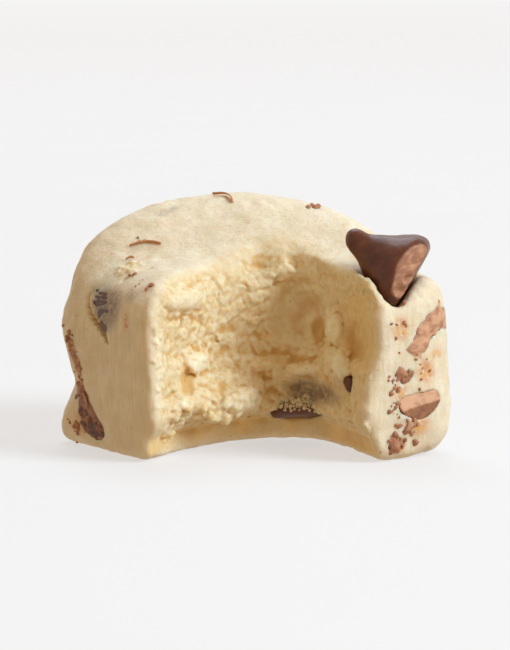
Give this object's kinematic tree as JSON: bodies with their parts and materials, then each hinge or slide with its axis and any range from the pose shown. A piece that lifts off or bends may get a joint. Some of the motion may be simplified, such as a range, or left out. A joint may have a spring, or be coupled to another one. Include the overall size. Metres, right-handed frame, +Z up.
{
  "type": "cookie dough fudge square",
  "caption": "Square of chocolate chip cookie dough fudge with a corner bitten off, showing a crumbly inside and cut chocolate chips in its faces.",
  "frame": {"origin": "centre of the square's base, under the middle of its outline", "axes": "+Z up; the bite takes the corner between -Y, the front face, and -X, the left face"},
  "size_m": [0.0354, 0.0354, 0.0287],
  "materials": {
    "dough": "matte, soft and fine-grained",
    "chocolate": "satin milk chocolate"
  },
  "bodies": {
    "root": {"dough": "dough", "chip_top": "chocolate", "chip_front_high": "chocolate", "chip_front_low": "chocolate", "chip_front_shard": "chocolate", "chip_front_scrap": "chocolate", "chip_left_high": "chocolate", "chip_left_corner": "chocolate", "chip_left_low": "chocolate", "chip_bite": "chocolate", "chip_bite_scrap": "chocolate", "chip_crown": "chocolate", "chip_back_left": "chocolate", "chip_back_high": "chocolate", "chip_back_low": "chocolate", "chip_back_right": "chocolate", "chip_right_high": "chocolate", "chip_right_middle": "chocolate", "chip_right_low": "chocolate", "chip_base_left": "chocolate", "chip_base_right": "chocolate"}
  },
  "joints": []
}
